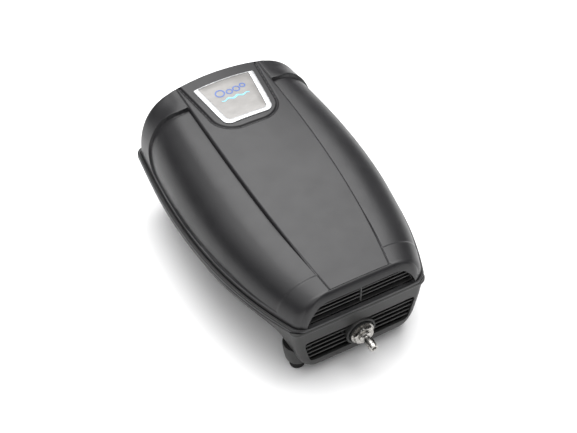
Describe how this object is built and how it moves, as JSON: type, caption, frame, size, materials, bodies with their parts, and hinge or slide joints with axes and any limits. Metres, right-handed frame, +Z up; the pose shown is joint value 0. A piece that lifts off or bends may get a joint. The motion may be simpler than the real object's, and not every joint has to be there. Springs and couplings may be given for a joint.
{
  "type": "pond air pump",
  "caption": "Aerator for ponds and aquariums: charcoal hood with front air slots over a tub on rubber feet, barbed hose outlet, lever-driven diaphragms inside.",
  "frame": {"origin": "on the ground under the middle of the overall box", "axes": "+Z up; the grilles and the hose outlet face -Y; +X to the pump's left as it faces forwards, which is the right in a front view"},
  "size_m": [0.2136, 0.331, 0.145],
  "materials": {
    "satin_charcoal_plastic": "satin",
    "black_plastic": "matt",
    "dark_grey_plastic": "matt",
    "black_rubber": "matt",
    "silver_badge": "satin",
    "pale_grey_inlay": "gloss",
    "nickel_plate": "polished",
    "zinc_steel": "brushed",
    "lamination_steel": "varnished",
    "copper_wire": "enamelled",
    "ferrite": "ground",
    "white_plastic": "moulded",
    "grey_foam": "open-cell foam"
  },
  "bodies": {
    "base": {"tub": "satin_charcoal_plastic", "air_manifold": "dark_grey_plastic", "coil_bobbin": "dark_grey_plastic", "terminal_block": "dark_grey_plastic", "pump_chamber_left": "dark_grey_plastic", "pump_chamber_right": "dark_grey_plastic", "valve_cover_left": "dark_grey_plastic", "valve_cover_right": "dark_grey_plastic", "drawer_rail_left": "dark_grey_plastic", "drawer_rail_right": "dark_grey_plastic", "gland_locknut": "dark_grey_plastic", "rim_gasket": "black_rubber", "foot_pad_front_left": "black_rubber", "foot_pad_front_right": "black_rubber", "foot_pad_rear_left": "black_rubber", "foot_pad_rear_right": "black_rubber", "outlet_washer": "black_rubber", "rubber_mount_front_left": "black_rubber", "rubber_mount_front_right": "black_rubber", "rubber_mount_rear_left": "black_rubber", "rubber_mount_rear_right": "black_rubber", "diaphragm_left": "black_rubber", "diaphragm_right": "black_rubber", "air_hose_left": "black_rubber", "air_hose_right": "black_rubber", "cable_gland": "black_rubber", "outlet_nut": "nickel_plate", "outlet_nozzle": "nickel_plate", "outlet_locknut": "nickel_plate", "hood_screw_front_left": "zinc_steel", "hood_screw_front_right": "zinc_steel", "hood_screw_rear_left": "zinc_steel", "hood_screw_rear_right": "zinc_steel", "chassis_plate": "zinc_steel", "pivot_bracket": "zinc_steel", "core_stand": "zinc_steel", "pivot_pin_left": "zinc_steel", "pivot_pin_right": "zinc_steel", "core": "lamination_steel", "coil_winding": "copper_wire"},
    "cover": {"hood": "satin_charcoal_plastic", "upper_grille": "black_plastic", "badge_frame": "silver_badge", "badge_plate": "pale_grey_inlay"},
    "arm_left": {"lever_left": "white_plastic", "magnet_left": "ferrite", "diaphragm_disc_left": "zinc_steel"},
    "arm_right": {"lever_right": "white_plastic", "magnet_right": "ferrite", "diaphragm_disc_right": "zinc_steel"},
    "drawer": {"filter_drawer": "black_plastic", "filter_pad": "grey_foam"}
  },
  "joints": [
    {"name": "hood_lift", "type": "slide", "parent": "base", "child": "cover", "axis": [0, 0, 1], "range_m": [0, 0.12]},
    {"name": "lever_left_swing", "type": "hinge", "parent": "base", "child": "arm_left", "pos_m": [-0.018, -0.0705, 0.058], "axis": [0, 0, 1], "range_deg": [-2.5, 2.5], "stiffness_Nm_per_rad": 4},
    {"name": "lever_right_swing", "type": "hinge", "parent": "base", "child": "arm_right", "pos_m": [0.018, -0.0705, 0.058], "axis": [0, 0, 1], "range_deg": [-2.5, 2.5], "stiffness_Nm_per_rad": 4},
    {"name": "drawer_slide", "type": "slide", "parent": "base", "child": "drawer", "axis": [0, 1, 0], "range_m": [0, 0.06]}
  ],
  "couplings": [
    {"joint": "lever_right_swing", "follows": "lever_left_swing", "ratio": -1}
  ]
}
